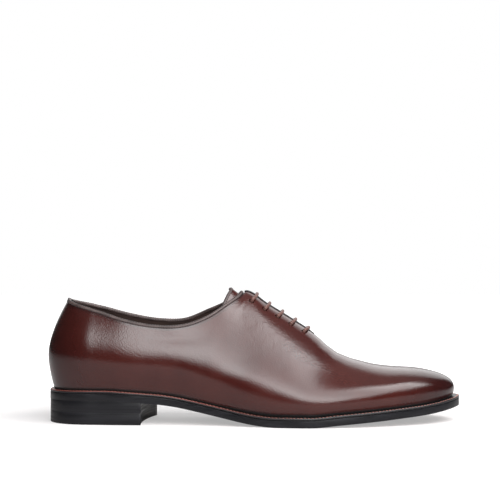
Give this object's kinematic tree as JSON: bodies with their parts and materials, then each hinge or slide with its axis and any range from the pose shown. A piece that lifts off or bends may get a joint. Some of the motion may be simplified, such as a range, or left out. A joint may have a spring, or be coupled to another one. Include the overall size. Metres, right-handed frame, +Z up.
{
  "type": "whole cut oxford shoe",
  "caption": "Right men's whole cut oxford: one seamless leather upper with a closed lace throat, rolled collar edge, tongue, welt, thin outsole and low stacked heel.",
  "frame": {"origin": "on the floor under the middle of the shoe's bounding box", "axes": "+X to the toe, +Y to the inner side of a right foot, +Z up"},
  "size_m": [0.307, 0.1046, 0.0986],
  "materials": {
    "calf_leather": "polished, burnished darker at toe and heel",
    "binding_leather": "matte, rolled and stitched",
    "welt_leather": "satin, stitched",
    "lining_leather": "matte",
    "sole_rubber": "satin",
    "lace_cotton": "waxed round cord"
  },
  "bodies": {
    "root": {"outsole": "sole_rubber", "welt": "welt_leather", "heel_block": "sole_rubber", "heel_top_piece": "sole_rubber", "insole": "lining_leather", "upper": "calf_leather", "collar_binding": "binding_leather", "tongue": "calf_leather", "lace": "lace_cotton"}
  },
  "joints": []
}
